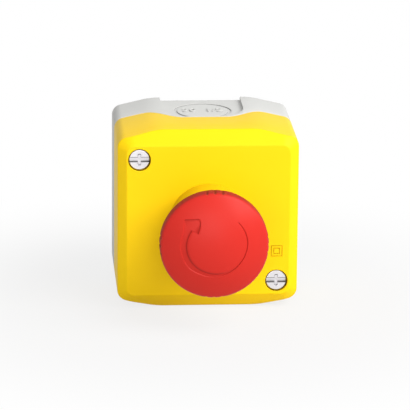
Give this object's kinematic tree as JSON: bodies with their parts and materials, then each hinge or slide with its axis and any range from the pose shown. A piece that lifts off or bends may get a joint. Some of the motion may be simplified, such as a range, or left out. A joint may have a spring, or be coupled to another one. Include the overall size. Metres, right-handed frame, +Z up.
{
  "type": "emergency stop control station",
  "caption": "Wall-mounted emergency stop station: bevelled yellow lid on a grey base, red turn-to-release mushroom head, contact blocks inside",
  "frame": {"origin": "centre of the back face that lies against the wall", "axes": "+Z up the wall, +X to the right seen from the front, +Y into the wall; the mushroom head points along -Y"},
  "size_m": [0.068, 0.091, 0.069],
  "materials": {
    "grey_plastic": "fine satin moulding",
    "block_grey": "satin moulding",
    "black_plastic": "satin moulding",
    "yellow_plastic": "semi-gloss moulding",
    "red_plastic": "semi-gloss moulding",
    "zinc_steel": "bright zinc plate",
    "spring_steel": "drawn wire",
    "contact_brass": "plain",
    "seal_rubber": "matt",
    "white_acetal": "satin",
    "nc_red": "satin",
    "no_green": "satin"
  },
  "bodies": {
    "base": {"base_housing": "grey_plastic", "nc_block_housing": "block_grey", "nc_block_cover": "black_plastic", "nc_contacts": "contact_brass", "nc_clamps": "zinc_steel", "nc_terminal_screws": "zinc_steel", "no_block_housing": "block_grey", "no_block_cover": "black_plastic", "no_contacts": "contact_brass", "no_clamps": "zinc_steel", "no_terminal_screws": "zinc_steel", "nc_spring": "spring_steel", "no_spring": "spring_steel"},
    "lid": {"lid": "yellow_plastic", "lid_gasket": "seal_rubber", "lid_screws": "zinc_steel", "screw_retainers": "black_plastic", "collar": "yellow_plastic", "ring_seal": "seal_rubber", "head_sleeve": "black_plastic", "fixing_nut": "black_plastic", "wiper_seal": "seal_rubber", "latch_pins": "spring_steel", "latch_ring": "spring_steel", "return_spring": "spring_steel"},
    "plunger": {"pusher": "white_acetal", "pusher_plate": "white_acetal"},
    "head": {"mushroom_cap": "red_plastic", "spindle": "spring_steel", "release_cam": "white_acetal", "spindle_clip": "spring_steel"},
    "nc_slider": {"nc_plunger": "nc_red", "nc_bridge": "contact_brass"},
    "no_slider": {"no_plunger": "no_green", "no_bridge": "contact_brass"}
  },
  "joints": [
    {"name": "lid_lift", "type": "slide", "parent": "base", "child": "lid", "axis": [0, -1, 0], "range_m": [0, 0.06]},
    {"name": "press", "type": "slide", "parent": "lid", "child": "plunger", "axis": [0, 1, 0], "range_m": [0, 0.0043], "deforming": ["return_spring"]},
    {"name": "twist", "type": "hinge", "parent": "plunger", "child": "head", "pos_m": [0, -0.07, 0], "axis": [0, 1, 0], "range_deg": [0, 45], "stiffness_Nm_per_rad": 0.02},
    {"name": "nc_press", "type": "slide", "parent": "base", "child": "nc_slider", "axis": [0, 1, 0], "range_m": [0, 0.0043], "deforming": ["nc_spring"]},
    {"name": "no_press", "type": "slide", "parent": "base", "child": "no_slider", "axis": [0, 1, 0], "range_m": [0, 0.0043], "deforming": ["no_spring"]}
  ],
  "couplings": [
    {"joint": "nc_press", "follows": "press", "ratio": 1},
    {"joint": "no_press", "follows": "press", "ratio": 1}
  ]
}
